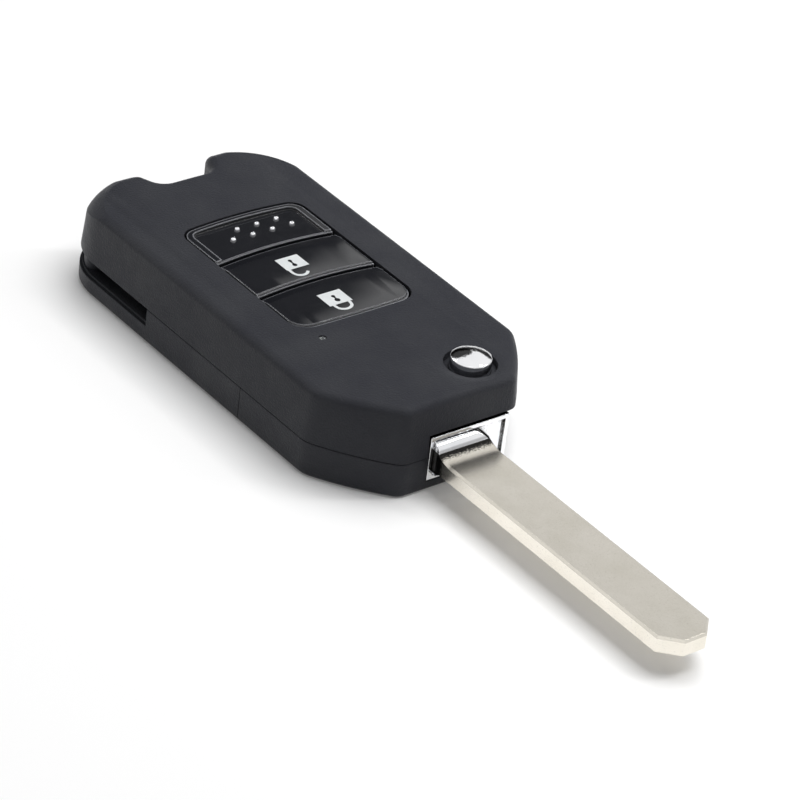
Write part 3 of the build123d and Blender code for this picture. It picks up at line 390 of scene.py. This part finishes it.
def rectangleLoop(angles, x0, x1, y0, y1, middle):
    # Where a ray from the middle at each angle meets the rectangle: the nearer of its x side and its y side.
    cx, cy = middle
    dx, dy = np.cos(angles), np.sin(angles)
    reachX = np.where(dx > 0, x1 - cx, x0 - cx) / np.where(np.abs(dx) < tiny, tiny, dx)
    reachY = np.where(dy > 0, y1 - cy, y0 - cy) / np.where(np.abs(dy) < tiny, tiny, dy)
    reach = np.minimum(np.abs(reachX), np.abs(reachY))
    return np.column_stack([cx + reach * dx, cy + reach * dy])


def keyholeLoop(angles, middle, length, ends, waist):
    # Two round ends, radius r at c from the middle, joined by a narrow waist. At angle a the outline's distance from
    # the middle is c |cos a| + sqrt(r^2 - (c sin a)^2) where an end is hit, and waist / |sin a| elsewhere.
    cx, cy = middle
    along = np.cos(angles)
    half = length / 2
    radius = np.where(along > 0, ends[1], ends[0])
    centre = half - radius
    sideways = np.abs(np.sin(angles))
    inside = np.maximum(radius ** 2 - (centre * sideways) ** 2, 0.0)
    toEnd = centre * np.abs(along) + np.sqrt(inside)
    toWaist = waist / np.maximum(sideways, tiny)
    reach = np.where((centre * sideways) < radius, toEnd, toWaist)
    reach = np.minimum(np.maximum(reach, waist), np.maximum(toEnd, waist))
    return np.column_stack([cx + reach * along, cy + reach * np.sin(angles)])


def ribbonLayer(path, width, lift, sink):
    # A flat band of one width along a path: at each point its left top, right top, right foot and left foot, half the
    # width off the path along its normal.
    step = np.gradient(path, axis=0)
    step /= np.linalg.norm(step, axis=1)[:, None]
    side = np.column_stack([-step[:, 1], step[:, 0]]) * width / 2
    corners = [(path + side, lift), (path - side, lift), (path - side, -sink), (path + side, -sink)]
    rows = [np.column_stack([p, capHeight(p[:, 1]) + offset]) for p, offset in corners]
    return np.stack(rows, axis=1)


def ribbonMesh(name, rows):
    # the band's grid of rings, with its two ends closed
    mesh = gridMesh(name, rows, closedAcross=False)
    work = bmesh.new()
    work.from_mesh(mesh)
    openEdges = [e for e in work.edges if e.is_boundary]
    bmesh.ops.holes_fill(work, edges=openEdges, sides=4)
    work.to_mesh(mesh)
    work.free()
    return mesh


# The printed padlocks, in millimetres: the body as x and y ranges, the keyhole as middle, length, two end radii and
# half its waist, and the shackle as points that a curve runs through. Each rides on the body of its own name.
padlocks = {
    "unlock": {"body": (-4.3, -1.3, -2.55, 1.2), "keyhole": ((-2.65, -0.7), 1.85, (0.3, 0.36), 0.16),
               "shackle": [(-1.5, -2.22), (-0.35, -2.2), (0.3, -1.85), (0.62, -1.1), (0.45, -0.45), (0.05, 0.0)]},
    "lock": {"body": (5.85, 9.0, -2.8, 1.0), "keyhole": ((7.6, -0.88), 1.75, (0.3, 0.42), 0.16),
             "shackle": [(8.8, 0.33), (9.4, 0.33), (10.15, 0.0), (10.5, -0.9), (10.15, -1.8), (9.4, -2.13),
                         (8.8, -2.13)]},
}
printLayer = {"lift": 0.012, "sink": 0.03, "shackleWidth": 0.45, "pathPoints": 64, "loopPoints": 128}


def smoothPath(points, count):
    # A curve through the points, sampled evenly. Between b and c, with a and d as their neighbours and f from 0 to 1:
    # 0.5 (2b + (c - a) f + (2a - 5b + 4c - d) f^2 + (3b - a - 3c + d) f^3).
    p = np.array(points, float)
    p = np.vstack([2 * p[0] - p[1], p, 2 * p[-1] - p[-2]])
    t = np.linspace(0, len(points) - 1, count)
    i = np.minimum(t.astype(int), len(points) - 2)
    f = (t - i)[:, None]
    a, b, c, d = p[i], p[i + 1], p[i + 2], p[i + 3]
    return 0.5 * (2 * b + (c - a) * f + (2 * a - 5 * b + 4 * c - d) * f ** 2 + (3 * b - a - 3 * c + d) * f ** 3)


for name, symbol in padlocks.items():
    x0, x1, y0, y1 = symbol["body"]
    middle, length, ends, waist = symbol["keyhole"]
    around = np.linspace(0, 2 * math.pi, printLayer["loopPoints"], endpoint=False)
    corners = np.arctan2(np.array([y0, y0, y1, y1]) - middle[1], np.array([x0, x1, x0, x1]) - middle[0])
    around = np.sort(np.concatenate([around, corners % (2 * math.pi)]))
    hole = keyholeLoop(around, middle, length, ends, waist)
    edge = rectangleLoop(around, x0, x1, y0, y1, middle)
    rows = ringLayer(hole, edge, printLayer["lift"], printLayer["sink"])
    addPiece(name + "Padlock", gridMesh(name + "Padlock", rows), whitePadPrint, name)
    path = smoothPath(symbol["shackle"], printLayer["pathPoints"])
    rows = ribbonLayer(path, printLayer["shackleWidth"], printLayer["lift"], printLayer["sink"])
    addPiece(name + "Shackle", ribbonMesh(name + "Shackle", rows), whitePadPrint, name)
print("padlocks printed:", len(padlocks))


# A glossy white table. It gives off a little light of its own, own towards the camera and ownMirrored in reflections.
table = {"size": 6.0, "colour": "#f4f4f4", "roughness": 0.1, "specular": 0.35, "own": 0.1, "ownMirrored": 0.4}
floorMesh = bpy.data.meshes.new("tableTop")
half = table["size"] / 2
floorMesh.from_pydata([(-half, -half, 0), (half, -half, 0), (half, half, 0), (-half, half, 0)], [], [(0, 1, 2, 3)])
floorObject = bpy.data.objects.new("tableTop", floorMesh)
scene.collection.objects.link(floorObject)
floorMaterial, tree = newMaterial("whiteTable")
rays = addNode(tree, "ShaderNodeLightPath")
surface = addNode(tree, "ShaderNodeBsdfPrincipled", {
    "Base Color": colour(table["colour"]), "Roughness": table["roughness"], "IOR": 1.5,
    "Specular IOR Level": table["specular"]})
mirrored = addNode(tree, "ShaderNodeMath", {"operation": "MAXIMUM"}, {
    0: rays.outputs["Is Glossy Ray"], 1: rays.outputs["Is Transmission Ray"]})
seen = addNode(tree, "ShaderNodeMath", {"operation": "MULTIPLY", 1: table["own"]}, {0: rays.outputs["Is Camera Ray"]})
share = addNode(tree, "ShaderNodeMath", {"operation": "MULTIPLY_ADD", 1: table["ownMirrored"]}, {
    0: mirrored.outputs[0], 2: seen.outputs[0]})
glow = addNode(tree, "ShaderNodeEmission", {"Color": (1, 1, 1, 1)}, {"Strength": share.outputs[0]})
floorSum = addNode(tree, "ShaderNodeAddShader", links={0: surface.outputs[0], 1: glow.outputs[0]})
finishMaterial(tree, floorSum.outputs[0])
floorMesh.materials.append(floorMaterial)

# The room as light is even. In reflections it is a white studio with one round dark screen, placed by its azimuth,
# height and soft edge in degrees. It is dimmer below lowEdge and has a dark wall round wallAzimuth. lowEdge, wallFoot
# and wallTop are soft edges given as the sines of two heights, and wallSide is one given as the cosines of two angles
# off the wall's middle.
room = {"fill": 0.15, "white": 1.0, "screen": 0.05, "screenAzimuth": 163.0, "screenHeight": 31.0,
        "screenEdge": (20.0, 23.5), "low": 0.55, "lowEdge": (0.28, 0.40),
        "wallAzimuth": 145.0, "wallFoot": (0.08, 0.12), "wallTop": (0.42, 0.46), "wallSide": (0.70, 0.76), "wall": 0.05}
world = bpy.data.worlds.new("studio")
scene.world = world
world.use_nodes = True
tree = world.node_tree
tree.nodes.clear()
rays = addNode(tree, "ShaderNodeLightPath")
direction = addNode(tree, "ShaderNodeTexCoord").outputs["Generated"]


def towards(azimuth, height):
    # how far the direction looks to a place given in degrees, as a cosine
    turn, rise = math.radians(azimuth), math.radians(height)
    place = (math.cos(rise) * math.cos(turn), math.cos(rise) * math.sin(turn), math.sin(rise))
    node = addNode(tree, "ShaderNodeVectorMath", {"operation": "DOT_PRODUCT", 1: place}, {0: direction})
    return node.outputs["Value"]


upward = addNode(tree, "ShaderNodeSeparateXYZ", links={0: direction})
inner, outer = [math.cos(math.radians(a)) for a in room["screenEdge"]]
screen = spread(tree, towards(room["screenAzimuth"], room["screenHeight"]), outer, inner,
                room["white"], room["screen"])
dimmer = spread(tree, upward.outputs["Z"], *room["lowEdge"], room["low"], 1.0)
mirrored = addNode(tree, "ShaderNodeMath", {"operation": "MULTIPLY"}, {0: screen, 1: dimmer})
wallShare = spread(tree, towards(room["wallAzimuth"], 0.0), *room["wallSide"], 0.0, 1.0)
for edges, ends in ((room["wallFoot"], (0.0, 1.0)), (room["wallTop"], (1.0, 0.0))):
    edge = spread(tree, upward.outputs["Z"], *edges, *ends)
    wallShare = addNode(tree, "ShaderNodeMath", {"operation": "MULTIPLY"}, {0: wallShare, 1: edge}).outputs[0]
pastWall = spread(tree, wallShare, 0.0, 1.0, 1.0, room["wall"])
mirrored = addNode(tree, "ShaderNodeMath", {"operation": "MULTIPLY"}, {0: mirrored.outputs[0], 1: pastWall})
inRoom = addNode(tree, "ShaderNodeBackground", {"Color": (1, 1, 1, 1), "Strength": room["fill"]})
inMirror = addNode(tree, "ShaderNodeBackground", {"Color": (1, 1, 1, 1)}, {"Strength": mirrored.outputs[0]})
white = addNode(tree, "ShaderNodeBackground", {"Color": (1, 1, 1, 1), "Strength": 1.0})
seen = addNode(tree, "ShaderNodeMath", {"operation": "MAXIMUM"}, {
    0: rays.outputs["Is Camera Ray"], 1: rays.outputs["Is Transmission Ray"]})
mix = addNode(tree, "ShaderNodeMixShader", links={
    0: rays.outputs["Is Glossy Ray"], 1: inRoom.outputs[0], 2: inMirror.outputs[0]})
mix = addNode(tree, "ShaderNodeMixShader", links={0: seen.outputs[0], 1: mix.outputs[0], 2: white.outputs[0]})
addNode(tree, "ShaderNodeOutputWorld", links={"Surface": mix.outputs[0]})

# Direction as azimuth and height in degrees, distance and size in metres, brightness as radiance. The softbox is kept
# out of reflections, where the white room stands for it, so that level metal doesn't burn out.
lamps = {
    "overheadSoftbox": {"azimuth": 95, "height": 73, "distance": 0.9, "size": (0.85, 0.6), "brightness": 5.1,
                        "mirrored": False},
    "edgeStrip": {"azimuth": 62, "height": 47, "distance": 0.8, "size": (0.05, 0.4), "brightness": 14.0,
                  "mirrored": True},
    "sideStrip": {"azimuth": 205, "height": 42, "distance": 0.8, "size": (0.05, 0.3), "brightness": 10.0,
                  "mirrored": True},
    "frontFill": {"azimuth": -30, "height": 60, "distance": 0.7, "size": (0.3, 0.3), "brightness": 0.2,
                  "mirrored": True},
}
for name, lamp in lamps.items():
    light = bpy.data.lights.new(name, "AREA")
    light.shape = "RECTANGLE"
    light.size, light.size_y = lamp["size"]
    light.energy = lamp["brightness"] * math.pi * light.size * light.size_y  # watts of an even emitter
    lampObject = bpy.data.objects.new(name, light)
    scene.collection.objects.link(lampObject)
    azimuth, height = math.radians(lamp["azimuth"]), math.radians(lamp["height"])
    lampObject.location = (lamp["distance"] * math.cos(height) * math.cos(azimuth),
                           lamp["distance"] * math.cos(height) * math.sin(azimuth),
                           lamp["distance"] * math.sin(height))
    lampObject.rotation_euler = (math.radians(90) - height, 0, azimuth + math.radians(90))
    lampObject.visible_glossy = lamp["mirrored"]

# Fitted to the blade and the case's edges in the photograph: metres, degrees, and millimetres for lens and sensor
view = {"place": (0.36423, -0.29962, 0.29355), "turn": (57.400, -6.306, 52.776), "lens": 180.0, "sensor": 36.0}
cameraData = bpy.data.cameras.new("camera")
cameraData.lens = view["lens"]
cameraData.sensor_width = view["sensor"]
cameraData.clip_start, cameraData.clip_end = 0.01, 20.0
camera = bpy.data.objects.new("camera", cameraData)
scene.collection.objects.link(camera)
camera.location = view["place"]
camera.rotation_euler = [math.radians(a) for a in view["turn"]]
scene.camera = camera
print("stage, lamps and camera set")
